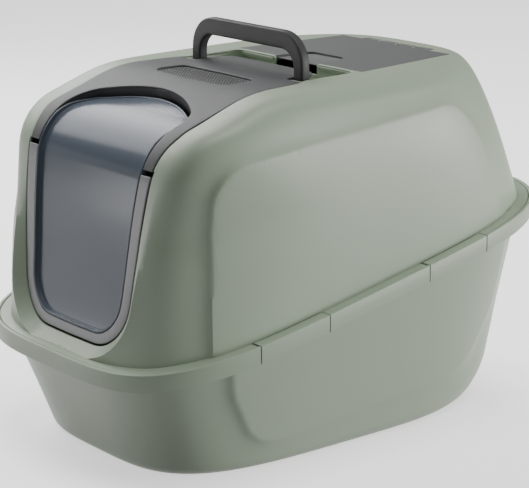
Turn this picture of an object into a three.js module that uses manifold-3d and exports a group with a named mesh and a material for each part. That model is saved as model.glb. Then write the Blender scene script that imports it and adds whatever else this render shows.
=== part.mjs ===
// Cat litter box with a hood: an open tray, a hood clipped on its rim, a swinging see-through door
// under a tilting visor with a carbon filter, a folding carrying handle and a hinged roof lid.
// Millimetres, +Z up. X is the width, the door faces -Y, and the origin is under the middle.
import * as THREE from 'three';
import { mergeVertices } from 'three/addons/utils/BufferGeometryUtils.js';
import Module from 'manifold-3d';

const wasm = await Module();
wasm.setup();

// ---------- driving dimensions ----------
const WALL = 3;                  // moulded wall thickness
const GAP = 0.35;                // clearance between pieces that touch
const RIM = { halfWidth: 190, halfLength: 280, power: 4, bandHeight: 18 };
const RIM_SLOPE = 0.2068;        // the rim climbs towards the rear
const RIM_MIDDLE = 178;          // rim height half way along
const LEDGE_DEPTH = 5;           // the hood stands this far below the rim's lip
const BASE = { halfWidth: 148, halfLength: 228.5, middle: 2.7, power: 3.75 };
const BOTTOM_RADIUS = { side: 14, front: 8, rear: 55 };

const FOOT_INSET = 14;           // hood wall, measured in from the rim's outer edge
const HOOD_DROP = 4.6;           // the hood's bottom edge, just clear of the ledge
const HOOD_FOOT = { halfWidth: 176, halfLength: 266 };
const ROOF = { halfWidth: 127, rear: 205, height: 378.2, slope: 0.02 };
const SHOULDER_POWER = 3.36;     // roundness of the edge between side wall and roof
const FRONT_FLAT = 96;           // half-width of the flat front face
const FACE_TOP = { y: -223.8, z: 337.4 };   // where the front face would meet the sloping visor
const SLOPE_TOP = { y: -112, z: 376 };      // where the sloping visor meets the roof
const FACE_RADIUS = 68;
const SLOPE_RADIUS = 160;

const DOOR_AXIS = { y: -218, z: 317 };
const ARM_END = 312.7;           // lower end of the visor's arms
const FRAME_TOP = 307.7;         // upper ends of the door's frame
const WINDOW_DEPTH = 13;         // the window's face is set back this far
const WINDOW_WALL = 2.4;

const HANDLE = { y: -26, pivot: 371, top: 423.3, outer: 92.3, leg: 14, depth: 11, bar: 18.5 };
const DISH = { halfWidth: 97.5, front: -19, rear: 36.5, floor: 359.5 };
const LID = { front: 40.5, rear: 179, frontHalf: 101, rearHalf: 87, thickness: 3 };
const LID_AXIS = { y: 184.6, lift: -1.6 };  // lift is measured from the roof's surface
const TONGUES = [-42, -14, 14, 42];
const SLOT_HALF = 12.6;          // half-width of a hinge slot
const TONGUE_HALF = 11.6;        // half-width of a hinge tongue

const CLIP_SPANS = { front: [-158, -74], rear: [58, 143] };
const CLIP_AXIS = { offset: 4.4, drop: 15.6 };
const CLIP_GAP = 1.3;            // free space at each end of a clip, which its slanted axis needs

const rimHeight = (y) => RIM_MIDDLE + RIM_SLOPE * y;
const roofHeight = (y) => ROOF.height + ROOF.slope * y;

// ---------- materials ----------
const sage = new THREE.MeshStandardMaterial({ color: 0x9aa394, roughness: 0.45, metalness: 0 });
const charcoal = new THREE.MeshStandardMaterial({ color: 0x5c5e5d, roughness: 0.5, metalness: 0 });
const slate = new THREE.MeshStandardMaterial({ color: 0x464846, roughness: 0.5, metalness: 0 });
const silverGrey = new THREE.MeshStandardMaterial({ color: 0x8f9092, roughness: 0.4, metalness: 0 });
const smoke = new THREE.MeshStandardMaterial({
  color: 0x67707c, roughness: 0.15, metalness: 0, transparent: true, opacity: 0.7,
});
const carbon = new THREE.MeshStandardMaterial({ color: 0x1d1e1f, roughness: 0.95, metalness: 0 });

// ---------- solids ----------
function toSolid(geometry) {
  const bare = geometry.clone();
  bare.deleteAttribute('normal');
  bare.deleteAttribute('uv');
  const merged = mergeVertices(bare, 1e-4);
  return new wasm.Manifold(new wasm.Mesh({
    numProp: 3,
    vertProperties: new Float32Array(merged.attributes.position.array),
    triVerts: new Uint32Array(merged.index.array),
  }));
}

function toGeometry(solid) {
  const mesh = solid.getMesh();
  const geometry = new THREE.BufferGeometry();
  geometry.setAttribute('position', new THREE.BufferAttribute(new Float32Array(mesh.vertProperties), 3));
  geometry.setIndex(new THREE.BufferAttribute(new Uint32Array(mesh.triVerts), 1));
  const flat = geometry.toNonIndexed();
  flat.computeVertexNormals();
  return flat;
}

function mirrored(geometry) {
  const copy = geometry.clone().scale(-1, 1, 1);
  const flat = copy.index ? copy.toNonIndexed() : copy;
  const points = flat.attributes.position;
  for (let i = 0; i < points.count; i += 3) {
    const second = new THREE.Vector3().fromBufferAttribute(points, i + 1);
    const third = new THREE.Vector3().fromBufferAttribute(points, i + 2);
    points.setXYZ(i + 1, third.x, third.y, third.z);
    points.setXYZ(i + 2, second.x, second.y, second.z);
  }
  return flat;
}

// Both of a pair in one solid: the right-hand shape and its mirror image.
function bothSides(geometry) {
  return toSolid(geometry).add(toSolid(mirrored(geometry)));
}

// A closed skin through a list of rings, each a closed loop of points, capped at both ends unless
// the last ring joins the first. A ring that isn't convex gives its cap's flat contour.
function loft(rings, { closed = false, contour = null } = {}) {
  const size = rings[0].length;
  const points = [];
  const index = [];
  rings.forEach((ring) => ring.forEach((p) => points.push(p.x, p.y, p.z)));
  const last = closed ? rings.length : rings.length - 1;
  for (let r = 0; r < last; r += 1) {
    for (let i = 0; i < size; i += 1) {
      const next = (i + 1) % size;
      const above = (r + 1) % rings.length;
      const a = r * size + i;
      const b = r * size + next;
      const c = above * size + next;
      const d = above * size + i;
      index.push(a, b, c, a, c, d);
    }
  }
  if (contour) {
    const cap = THREE.ShapeUtils.triangulateShape(contour, []);
    const top = (rings.length - 1) * size;
    const turns = THREE.ShapeUtils.isClockWise(contour) ? 1 : -1;
    cap.forEach(([a, b, c]) => {
      if (turns > 0) index.push(a, b, c, top + a, top + c, top + b);
      else index.push(a, c, b, top + a, top + b, top + c);
    });
  } else if (!closed) {
    [0, rings.length - 1].forEach((r) => {
      const ring = rings[r];
      const middle = ring.reduce((sum, p) => sum.add(p), new THREE.Vector3()).divideScalar(size);
      const hub = points.length / 3;
      points.push(middle.x, middle.y, middle.z);
      for (let i = 0; i < size; i += 1) {
        const a = r * size + i;
        const b = r * size + ((i + 1) % size);
        if (r === 0) index.push(hub, b, a);
        else index.push(hub, a, b);
      }
    });
  }
  const geometry = new THREE.BufferGeometry();
  geometry.setAttribute('position', new THREE.Float32BufferAttribute(points, 3));
  geometry.setIndex(index);
  return geometry;
}

// ---------- outlines ----------
// A run of corners [x, y, radius], each rounded by an arc, as a list of 2-D points.
function rounded(corners, steps = 5) {
  const points = [];
  corners.forEach(([x, y, radius], i) => {
    if (i === 0 || i === corners.length - 1 || !radius) {
      points.push(new THREE.Vector2(x, y));
      return;
    }
    const corner = new THREE.Vector2(x, y);
    const back = new THREE.Vector2(...corners[i - 1].slice(0, 2)).sub(corner).normalize();
    const ahead = new THREE.Vector2(...corners[i + 1].slice(0, 2)).sub(corner).normalize();
    const half = Math.acos(THREE.MathUtils.clamp(back.dot(ahead), -1, 1)) / 2;
    const reach = radius / Math.tan(half);
    const centre = back.clone().add(ahead).normalize().multiplyScalar(radius / Math.sin(half)).add(corner);
    const start = corner.clone().addScaledVector(back, reach).sub(centre);
    const end = corner.clone().addScaledVector(ahead, reach).sub(centre);
    let sweep = end.angle() - start.angle();
    if (sweep > Math.PI) sweep -= 2 * Math.PI;
    if (sweep < -Math.PI) sweep += 2 * Math.PI;
    for (let s = 0; s <= steps; s += 1) {
      points.push(start.clone().rotateAround(new THREE.Vector2(), (sweep * s) / steps).add(centre));
    }
  });
  return points;
}

// A shape that is the same left and right, from the corners of its right half.
function evenShape(corners, steps) {
  const right = rounded(corners, steps);
  const left = right.filter((p) => p.x > 1e-6).map((p) => new THREE.Vector2(-p.x, p.y)).reverse();
  const shape = new THREE.Shape([...right, ...left]);
  return shape;
}

const rectangle = (x0, y0, x1, y1) => new THREE.Shape([
  new THREE.Vector2(x0, y0), new THREE.Vector2(x1, y0),
  new THREE.Vector2(x1, y1), new THREE.Vector2(x0, y1),
]);

// Extrudes a plan outline upwards from one height to another.
function upright(shape, low, high) {
  const geometry = new THREE.ExtrudeGeometry(shape, { depth: high - low, bevelEnabled: false });
  return geometry.translate(0, 0, low);
}

// Extrudes a plan outline between two depths that follow the sloping roof.
function onRoof(shape, low, high) {
  const geometry = upright(shape, low, high);
  const points = geometry.attributes.position;
  for (let i = 0; i < points.count; i += 1) {
    points.setZ(i, points.getZ(i) + roofHeight(points.getY(i)));
  }
  return geometry;
}

// Extrudes an outline drawn in X and Z along Y.
function facing(shape, near, far) {
  const geometry = new THREE.ExtrudeGeometry(shape, { depth: far - near, bevelEnabled: false });
  return geometry.rotateX(Math.PI / 2).translate(0, far, 0);
}

function box(x0, y0, z0, x1, y1, z1) {
  return new THREE.BoxGeometry(x1 - x0, y1 - y0, z1 - z0)
    .translate((x0 + x1) / 2, (y0 + y1) / 2, (z0 + z1) / 2);
}

function crossRod(radius, x0, x1, y, z, sides = 16) {
  return new THREE.CylinderGeometry(radius, radius, x1 - x0, sides)
    .rotateZ(Math.PI / 2).translate((x0 + x1) / 2, y, z);
}

// ---------- the rim and the tray ----------
const RING_STEPS = 11;           // points in each quarter of a ring

// A superellipse ring whose rear and front halves may differ, at heights given by a function of y.
function ring({ halfWidth, rear, front, rearPower, frontPower = rearPower, flat = 0 }, height) {
  const quarter = [...Array(RING_STEPS).keys()].map((i) => (i / RING_STEPS) * (Math.PI / 2));
  const rearPoint = (a) => [
    halfWidth * Math.cos(a) ** (2 / rearPower), rear * Math.sin(a) ** (2 / rearPower)];
  const frontPoint = (a) => [
    flat + (halfWidth - flat) * Math.cos(a) ** (2 / frontPower), front * Math.sin(a) ** (2 / frontPower)];
  const back = quarter.map((a) => Math.PI / 2 - a);
  const flatEdge = flat > 0 ? [[flat, front], [-flat, front]] : [[0, front]];
  const loop = [
    ...quarter.map(rearPoint),
    [0, rear],
    ...back.slice(1).map(rearPoint).map(([x, y]) => [-x, y]),
    ...quarter.map(frontPoint).map(([x, y]) => [-x, y]),
    ...flatEdge.map(([x, y]) => [-x, y]),
    ...back.slice(1).map(frontPoint),
  ];
  return loop.map(([x, y]) => new THREE.Vector3(x, y, height(y)));
}

function rimRing(offset, drop, flat = 0) {
  const halfWidth = RIM.halfWidth - offset;
  const rear = RIM.halfLength - offset;
  return ring({ halfWidth, rear, front: -rear, rearPower: RIM.power, flat }, (y) => rimHeight(y) - drop);
}

const WALL_OFFSET = 12;          // tray wall under the rim, in from the rim's outer edge
const LEDGE_EDGE = 18;
const ledgeUnder = LEDGE_DEPTH + WALL;

function rounding(radius, height) {
  if (height >= radius) return 0;
  return radius - Math.sqrt(radius ** 2 - (radius - height) ** 2);
}

// The tray wall's ring at a share of the way up, with the wall moved in by inset.
function trayRing(share, inset, floor) {
  const { lerp } = THREE.MathUtils;
  const top = RIM.halfLength - WALL_OFFSET;
  const sideHeight = share * (RIM_MIDDLE - ledgeUnder);
  const rearHeight = share * (rimHeight(top) - ledgeUnder);
  const frontHeight = share * (rimHeight(-top) - ledgeUnder);
  const side = lerp(BASE.halfWidth, RIM.halfWidth - WALL_OFFSET, share) - inset;
  const rear = lerp(BASE.middle + BASE.halfLength, top, share) - inset;
  const front = lerp(BASE.middle - BASE.halfLength, -top, share) + inset;
  return ring({
    halfWidth: side - rounding(BOTTOM_RADIUS.side, sideHeight),
    rear: rear - rounding(BOTTOM_RADIUS.rear, rearHeight),
    front: front + rounding(BOTTOM_RADIUS.front, frontHeight),
    rearPower: lerp(BASE.power, RIM.power, share),
  }, (y) => Math.max(floor, (rimHeight(y) - ledgeUnder) * share + floor * (1 - share)));
}

const TRAY_LEVELS = [0, 0.02, 0.06, 0.14, 0.28, 0.6, 1];

function clipSpans(visit) {
  Object.entries(CLIP_SPANS).forEach(([name, [from, to]]) => visit(name, from, to));
}

// Sweeps a section, drawn as [offset inwards, drop] corners, along the right-hand rim.
function alongRim(section, from, to, steps = 5) {
  const rings = [...Array(steps + 1).keys()].map((i) => {
    const y = from + ((to - from) * i) / steps;
    return section.map(([offset, drop]) => {
      const share = Math.abs(y) / (RIM.halfLength - offset);
      const x = (RIM.halfWidth - offset) * (1 - share ** RIM.power) ** (1 / RIM.power);
      return new THREE.Vector3(x, y, rimHeight(y) - drop);
    });
  });
  return loft(rings, { contour: section.map(([offset, drop]) => new THREE.Vector2(offset, drop)) });
}

function makeTray() {
  const outside = TRAY_LEVELS.map((share) => trayRing(share, 0, 0));
  const inside = TRAY_LEVELS.map((share) => trayRing(share, WALL, WALL)).reverse();
  const rim = [[3, ledgeUnder], [3, RIM.bandHeight], [0, RIM.bandHeight], [0, 0], [3.5, 0],
    [3.5, LEDGE_DEPTH], [LEDGE_EDGE, LEDGE_DEPTH], [LEDGE_EDGE, ledgeUnder]];
  const rimRings = rim.map(([offset, drop]) => rimRing(offset, drop));
  let tray = toSolid(loft([...outside, ...rimRings, ...inside]));
  clipSpans((name, from, to) => {
    const notch = [[-1, 19], [5, 19], [5, -1], [-1, -1]];
    tray = tray.subtract(bothSides(alongRim(notch, from, to)));
  });
  return toGeometry(tray);
}

// ---------- the rim clips ----------
function makeClip(from, to) {
  const plate = [[0, RIM.bandHeight], [3, RIM.bandHeight], [3, 2.4], [13, 2.4], [13, 0], [0, 0]];
  const clip = toSolid(alongRim(plate, from + CLIP_GAP, to - CLIP_GAP));
  const { start, end } = clipAxisEnds(from + 6, to - 6);
  const along = end.clone().sub(start);
  const barrel = new THREE.CylinderGeometry(2.2, 2.2, along.length(), 10);
  barrel.applyQuaternion(new THREE.Quaternion().setFromUnitVectors(
    new THREE.Vector3(0, 1, 0), along.clone().normalize()));
  barrel.translate(...start.clone().add(end).divideScalar(2).toArray());
  return toGeometry(clip.add(toSolid(barrel)));
}

// The two ends of a clip's hinge axis, on the right-hand side.
function clipAxisEnds(from, to) {
  const onAxis = (y) => {
    const share = Math.abs(y) / (RIM.halfLength - CLIP_AXIS.offset);
    const x = (RIM.halfWidth - CLIP_AXIS.offset) * (1 - share ** RIM.power) ** (1 / RIM.power);
    return new THREE.Vector3(x, y, rimHeight(y) - CLIP_AXIS.drop);
  };
  return { start: onAxis(from), end: onAxis(to) };
}

// ---------- the hood's outer form ----------
// The side view of the front: face, rounded shoulder, slope, roof.
const PROFILE = rounded([
  [-HOOD_FOOT.halfLength, rimHeight(-HOOD_FOOT.halfLength), 0],
  [FACE_TOP.y, FACE_TOP.z, FACE_RADIUS],
  [SLOPE_TOP.y, SLOPE_TOP.z, SLOPE_RADIUS],
  [0, roofHeight(0), 0],
], 8);
const levelOf = (y, z) => (z - rimHeight(y)) / (roofHeight(y) - rimHeight(y));

// The front edge's y at a level between the foot (0) and the roof (1).
function frontAt(level) {
  for (let i = 1; i < PROFILE.length; i += 1) {
    const low = levelOf(PROFILE[i - 1].x, PROFILE[i - 1].y);
    const high = levelOf(PROFILE[i].x, PROFILE[i].y);
    if (level <= high) {
      return THREE.MathUtils.mapLinear(level, low, high, PROFILE[i - 1].x, PROFILE[i].x);
    }
  }
  return SLOPE_TOP.y;
}

// The hood's outline at a level, moved in by inset.
function hoodRing(level, inset) {
  const { lerp } = THREE.MathUtils;
  const shoulder = (1 - level ** SHOULDER_POWER) ** (1 / SHOULDER_POWER);
  const low = Math.max(0, 1 - 2 * level);
  return ring({
    halfWidth: lerp(ROOF.halfWidth, HOOD_FOOT.halfWidth, shoulder) - inset,
    rear: lerp(HOOD_FOOT.halfLength, ROOF.rear, level) - inset,
    front: frontAt(level) + inset,
    rearPower: RIM.power - 0.8 * level ** 2,
    frontPower: 1.8 + 4.1 * level ** 2 + 2.2 * low,
    flat: (FRONT_FLAT - 0.6 * inset) * (1 - low ** 2),
  }, (y) => lerp(rimHeight(y), roofHeight(y) - inset, level));
}

const HOOD_LEVELS = [0.04, 0.16, 0.36, 0.54, 0.68, 0.765, 0.81, 0.85, 0.885, 0.92, 0.95, 0.975, 0.99, 1];

// The hood's form as one full solid, moved in by inset, down to a drop below the rim's plane.
function hoodForm(inset, drop = HOOD_DROP) {
  const foot = rimRing(FOOT_INSET + inset, drop, 2);
  return toSolid(loft([foot, ...HOOD_LEVELS.map((level) => hoodRing(level, inset))]));
}

const shell = (outer, inner) => hoodForm(outer).subtract(hoodForm(inner, LEDGE_DEPTH + 4));

// ---------- outlines on the front and the roof ----------
// The same right-half corners, with every edge moved outwards by a distance.
function grown(corners, by) {
  const points = corners.map(([x, y]) => new THREE.Vector2(x, y));
  const turn = points[1].y > points[0].y ? -Math.PI / 2 : Math.PI / 2;
  const edges = points.slice(1).map((end, i) => {
    const along = end.clone().sub(points[i]).normalize();
    const out = along.clone().rotateAround(new THREE.Vector2(), turn);
    return { along, start: points[i].clone().addScaledVector(out, by) };
  });
  const meet = (a, b) => {
    const share = b.start.clone().sub(a.start).cross(b.along) / a.along.cross(b.along);
    return a.start.clone().addScaledVector(a.along, share);
  };
  const level = { along: new THREE.Vector2(1, 0), start: points[0] };
  const middle = { along: new THREE.Vector2(0, 1), start: new THREE.Vector2(0, 0) };
  const lines = [level, ...edges, middle];
  return corners.map(([, , radius], i) => {
    const corner = meet(lines[i], lines[i + 1]);
    return [Math.max(corner.x, 0), corner.y, radius ? Math.max(radius + by, 1) : 0];
  });
}

const FRAME_OUTLINE = [[110, 340, 0], [88, 135, 52], [0, 134, 0]];
const WINDOW_OUTLINE = [[90.6, 380, 0], [90.6, 312, 30], [76, 145, 42], [0, 144, 0]];
const VISOR_PLAN = [[105.5, -245, 0], [107, -226, 10], [113, -202, 20], [112, -150, 100],
  [111, -105, 100], [106, -55, 60], [101, -38, 18], [68.5, 4.5, 26], [0, 5.5, 0]];
const OPENING_PLAN = [[91.9, -300, 0], [91.9, -222, 10], [93.5, -167, 34], [34, -137, 150],
  [0, -136, 0]];
const WINDOW_PLAN = [[91, -300, 0], [91, -170, 32], [34, -142, 150], [0, -141, 0]];
const LEG_NOTCH = { inner: 76.5, front: -39.5 };
const GRILLE = { front: [64, -103, 11], rear: [60, -66, 9], bow: 3 };

// The grille's outline, moved outwards: four rounded corners and bowed long edges.
function grilleShape(by) {
  const [[x0, y0, r0], [x1, y1, r1]] = [GRILLE.front, GRILLE.rear];
  return evenShape([
    [0, y0 - GRILLE.bow - by, 0], [x0 + by, y0 - by, r0 + by],
    [x1 + by, y1 + by, r1 + by], [0, y1 + GRILLE.bow / 2 + by, 0],
  ]);
}

// ---------- the visor with its filter ----------
function makeVisor() {
  let visor = shell(0, WALL).intersect(toSolid(upright(evenShape(VISOR_PLAN), ARM_END, 420)));
  visor = visor.subtract(toSolid(upright(evenShape(OPENING_PLAN), 250, 420)));
  const armWall = facing(rectangle(93.2, ARM_END - 3, 97.2, 346), -240, -196);
  const walls = shell(2, 22).intersect(bothSides(armWall));
  visor = visor.add(walls);
  const lug = box(
    72.2, HANDLE.y - 6, HANDLE.pivot - 6,
    LEG_NOTCH.inner - 0.6, HANDLE.y + 6, HANDLE.pivot + 4,
  );
  visor = visor.add(bothSides(lug));
  const notch = box(LEG_NOTCH.inner, LEG_NOTCH.front, 340, 140, 40, 400);
  visor = visor.subtract(bothSides(notch));
  visor = visor.subtract(toSolid(upright(grilleShape(0), 350, 420)));
  visor = visor.subtract(bothSides(crossRod(3.4, 85, 110, DOOR_AXIS.y, DOOR_AXIS.z)));
  visor = visor.subtract(bothSides(crossRod(3, 60, 90, HANDLE.y, HANDLE.pivot)));
  return toGeometry(visor);
}

function makeGrille() {
  const plate = upright(grilleShape(-0.5), 350, 420);
  const mesh = shell(1.2, 3).intersect(toSolid(plate));
  return toGeometry(mesh);
}

function makeFilterPad() {
  return upright(grilleShape(-3), 356, 364);
}

function makeFilterHolder() {
  const outer = toSolid(upright(grilleShape(2), 353, 366));
  const room = toSolid(upright(grilleShape(-2.4), 355.6, 380));
  const window = toSolid(upright(grilleShape(-7), 340, 380));
  return toGeometry(outer.subtract(room).subtract(window).intersect(hoodForm(WALL + GAP)));
}

// ---------- the door ----------
function makeWindow() {
  const outline = toSolid(facing(evenShape(WINDOW_OUTLINE), -300, -100));
  const plan = toSolid(upright(evenShape(WINDOW_PLAN), 100, 400));
  const innerOutline = toSolid(facing(evenShape(grown(WINDOW_OUTLINE, -WINDOW_WALL)), -300, -100));
  const innerPlan = toSolid(upright(evenShape(grown(WINDOW_PLAN, -WINDOW_WALL)), 100, 400));
  const room = innerOutline.intersect(innerPlan);
  const pan = shell(1, WINDOW_DEPTH + WINDOW_WALL).intersect(outline).intersect(plan);
  const hollow = shell(-5, WINDOW_DEPTH).intersect(room);
  return toGeometry(pan.subtract(hollow));
}

function makeDoorFrame() {
  const outside = toSolid(facing(evenShape(FRAME_OUTLINE), -300, -190));
  const inside = toSolid(facing(evenShape(grown(WINDOW_OUTLINE, GAP)), -310, -180));
  const below = toSolid(box(-200, -300, 60, 200, -190, FRAME_TOP));
  const band = shell(0.3, WALL + 0.5).intersect(outside).intersect(below).subtract(inside);
  return toGeometry(band);
}

const makeDoorPin = () => crossRod(3, 91.9, 99.6, DOOR_AXIS.y, DOOR_AXIS.z);

// ---------- the hood ----------
function makeHood() {
  let hood = shell(0, WALL);

  const foot = [[7.5, 4.4], [FOOT_INSET + 1.5, 4.4], [FOOT_INSET + 1.5, 2.4], [7.5, 2.4]];
  const flange = toSolid(loft(foot.map(([offset, drop]) => rimRing(offset, drop)), { closed: true }));
  hood = hood.add(flange);
  clipSpans((name, from, to) => {
    const relief = [[6, 8], [FOOT_INSET - 0.4, 8], [FOOT_INSET - 0.4, -1], [6, -1]];
    hood = hood.subtract(bothSides(alongRim(relief, from - 0.4, to + 0.4)));
  });

  const doorHole = facing(evenShape(grown(FRAME_OUTLINE, 3)), -300, -190);
  const doorRoom = toSolid(doorHole).intersect(toSolid(box(-200, -300, 100, 200, -190, ARM_END + 1)));
  const lipOutside = toSolid(facing(evenShape(grown(FRAME_OUTLINE, 7.5)), -300, -190));
  const lipTop = toSolid(box(-200, -300, 100, 200, -190, 190));
  hood = hood.add(shell(-2, 1).intersect(lipOutside).intersect(lipTop));
  hood = hood.subtract(doorRoom);

  hood = hood.add(dishBody());
  const visorRoom = toSolid(upright(evenShape(grown(VISOR_PLAN, GAP + 0.15)), ARM_END - 0.5, 420));
  const behindLegs = toSolid(box(LEG_NOTCH.inner + 3, DISH.front, 300, 140, 60, 420));
  const legs = behindLegs.add(toSolid(mirrored(box(LEG_NOTCH.inner + 3, DISH.front, 300, 140, 60, 420))));
  hood = hood.subtract(visorRoom.subtract(legs)).subtract(dishRoom());
  hood = hood.subtract(bothSides(crossRod(3, 60, 99.5, HANDLE.y, HANDLE.pivot)));

  hood = hood.add(lidLedge());
  hood = hood.subtract(toSolid(onRoof(evenShape(lidPlan(0.5)), -LID.thickness - 0.4, 10)));
  hood = hood.subtract(toSolid(onRoof(evenShape(lidPlan(-7)), -20, 10)));
  TONGUES.forEach((x) => {
    const slot = rectangle(x - SLOT_HALF, LID.rear - 1, x + SLOT_HALF, LID_AXIS.y + 4);
    hood = hood.subtract(toSolid(onRoof(slot, -20, 10)));
  });
  hood = hood.subtract(toSolid(box(-35, DISH.rear - 4, DISH.floor + 5, 35, LID.front + 12, 373.5)));
  return toGeometry(hood);
}

// The dish's walls and floor, under the roof behind the visor.
function dishBody() {
  const block = toSolid(upright(evenShape([
    [DISH.halfWidth + 3, HANDLE.y - 9, 0], [DISH.halfWidth + 3, DISH.rear + 3, 14], [0, DISH.rear + 3, 0],
  ]), DISH.floor - WALL, 400));
  const under = toSolid(box(-LEG_NOTCH.inner, -80, 300, LEG_NOTCH.inner, 8.5, 420));
  return block.intersect(hoodForm(1)).subtract(under);
}

// The space in the dish that the folded handle lies in.
function dishRoom() {
  const room = toSolid(upright(evenShape([
    [DISH.halfWidth, HANDLE.y - 7.5, 0], [DISH.halfWidth, DISH.rear, 12], [0, DISH.rear, 0],
  ]), DISH.floor, 420));
  const frontWall = toSolid(box(-LEG_NOTCH.inner - 3, -80, 300, LEG_NOTCH.inner + 3, 11, DISH.floor + 4.5));
  const boss = bothSides(box(HANDLE.outer + 0.6, HANDLE.y - 8, 300, 120, HANDLE.y + 8, HANDLE.pivot + 5));
  return room.subtract(frontWall).subtract(boss);
}

// ---------- the roof lid ----------
function lidPlan(by) {
  return [[LID.frontHalf + by, LID.front - by, 0], [LID.rearHalf + by, LID.rear + by, 0],
    [0, LID.rear + by, 0]];
}

function lidLedge() {
  const slab = toSolid(onRoof(evenShape(lidPlan(5)), -LID.thickness - 3, -1));
  const strip = toSolid(onRoof(rectangle(-60, LID.rear, 60, LID_AXIS.y + 7), -LID.thickness - 3, -1));
  return slab.add(strip);
}

function makeLid() {
  const axisHeight = roofHeight(LID_AXIS.y) + LID_AXIS.lift;
  let lid = toSolid(onRoof(evenShape(lidPlan(0)), -LID.thickness, 0));
  const scoop = evenShape([[30, LID.front - 10, 0], [21, LID.front + 38, 12], [0, LID.front + 38, 0]]);
  lid = lid.subtract(toSolid(onRoof(scoop, -LID.thickness + 1.2, 5)));
  TONGUES.forEach((x) => {
    const left = x - TONGUE_HALF;
    const right = x + TONGUE_HALF;
    lid = lid.add(toSolid(onRoof(rectangle(left, LID.rear - 0.5, right, LID_AXIS.y), -2.6, -0.8)));
    lid = lid.add(toSolid(crossRod(1.9, left, right, LID_AXIS.y, axisHeight, 12)));
  });
  return toGeometry(lid);
}

// ---------- the handle ----------
function makeHandle() {
  const { outer, leg, top, pivot, depth, bar, y } = HANDLE;
  const foot = depth / 2;
  const outside = evenShape([[outer, pivot, 0], [outer, top, 34], [0, top, 0]], 7);
  const inside = evenShape(
    [[outer - leg, pivot - 20, 0], [outer - leg, top - bar, 20], [0, top - bar, 0]], 7);
  let handle = toSolid(facing(outside, y - foot, y + foot));
  handle = handle.add(bothSides(crossRod(foot, outer - leg, outer, y, pivot, 20)));
  handle = handle.subtract(toSolid(facing(inside, y - 20, y + 20)));
  handle = handle.subtract(bothSides(crossRod(3, 60, 110, y, pivot)));
  return toGeometry(handle);
}

const makeHandlePin = () => crossRod(2.6, 72.6, 99, HANDLE.y, HANDLE.pivot);

// ---------- assembly ----------
const group = new THREE.Group();

function addPart(name, geometry, material) {
  const mesh = new THREE.Mesh(geometry, material);
  mesh.name = name;
  group.add(mesh);
}

function addPair(name, geometry, material) {
  addPart(`${name}_right`, geometry, material);
  addPart(`${name}_left`, mirrored(geometry), material);
}

addPart('tray', makeTray(), sage);
addPart('hood', makeHood(), sage);
clipSpans((name, from, to) => {
  const clip = makeClip(from, to);
  addPart(`clip_right_${name}`, clip, sage);
  addPart(`clip_left_${name}`, mirrored(clip), sage);
});
addPart('visor', makeVisor(), charcoal);
addPart('filter_grille', makeGrille(), slate);
addPart('filter_pad', makeFilterPad(), carbon);
addPart('filter_holder', makeFilterHolder(), charcoal);
addPart('door_window', makeWindow(), smoke);
addPart('door_frame', makeDoorFrame(), silverGrey);
addPair('door_pin', makeDoorPin(), silverGrey);
addPart('handle', makeHandle(), slate);
addPair('handle_pin', makeHandlePin(), slate);
addPart('roof_lid', makeLid(), charcoal);

export default group;
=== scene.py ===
"""Looks for the cat litter box with a hood: high-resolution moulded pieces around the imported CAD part."""

import math

import bpy
import numpy as np
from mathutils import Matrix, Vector
from mathutils.geometry import delaunay_2d_cdt


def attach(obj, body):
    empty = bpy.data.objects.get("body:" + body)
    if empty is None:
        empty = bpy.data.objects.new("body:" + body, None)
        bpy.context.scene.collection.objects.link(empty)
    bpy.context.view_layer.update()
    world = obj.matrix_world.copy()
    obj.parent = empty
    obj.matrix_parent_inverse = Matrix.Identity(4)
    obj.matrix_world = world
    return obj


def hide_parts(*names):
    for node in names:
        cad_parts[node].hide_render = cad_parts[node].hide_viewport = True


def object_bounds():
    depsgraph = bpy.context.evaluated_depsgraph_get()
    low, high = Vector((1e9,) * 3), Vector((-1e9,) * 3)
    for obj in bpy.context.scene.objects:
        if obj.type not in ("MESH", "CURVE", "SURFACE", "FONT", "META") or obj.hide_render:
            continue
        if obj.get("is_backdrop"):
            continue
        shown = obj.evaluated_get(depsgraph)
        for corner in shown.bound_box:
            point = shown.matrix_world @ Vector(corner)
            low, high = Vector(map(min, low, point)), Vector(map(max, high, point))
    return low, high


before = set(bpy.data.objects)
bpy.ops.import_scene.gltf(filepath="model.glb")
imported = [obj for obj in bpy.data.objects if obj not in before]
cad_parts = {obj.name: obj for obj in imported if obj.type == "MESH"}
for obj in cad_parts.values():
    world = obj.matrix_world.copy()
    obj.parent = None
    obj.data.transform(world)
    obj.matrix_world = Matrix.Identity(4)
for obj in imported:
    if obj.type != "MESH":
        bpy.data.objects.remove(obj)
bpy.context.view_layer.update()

MM = 0.001
STEP = 3  # spacing of the points along an outline
SHARP_ANGLE = 38
NO_LATTICE = np.zeros((0, 2))
MIRROR = np.array([-1, 1, 1])

# ---------- driving dimensions, in millimetres ----------
RIM = {"half": 190, "length": 280, "power": 4, "band": 18}
RIM_SLOPE, RIM_MIDDLE = 0.2068, 178
FOOT_INSET = 14
HOOD_DROP = 4.6
ROOF_HALF, FOOT_HALF = 127, 176
ROOF_REAR, FOOT_REAR = 205, 266
ROOF_HEIGHT, ROOF_SLOPE = 378.2, 0.02
SHOULDER = 3.36
FRONT_FLAT = 96
WALL = 3
GAP = 0.35
HANDLE_Y, HANDLE_Z = -26, 371
ARM_END, FRAME_TOP = 312.7, 307.7


def rim_height(y):
    return RIM_MIDDLE + RIM_SLOPE * y


def roof_height(y):
    return ROOF_HEIGHT + ROOF_SLOPE * y


def level_of(y, z):
    """How far up a point is from the rim (0) to the roof (1)."""
    return (z - rim_height(y)) / (roof_height(y) - rim_height(y))


def unit(rows):
    return rows / np.linalg.norm(rows, axis=1, keepdims=True)


def columns_of(*values):
    return np.stack(values, axis=1)


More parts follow.
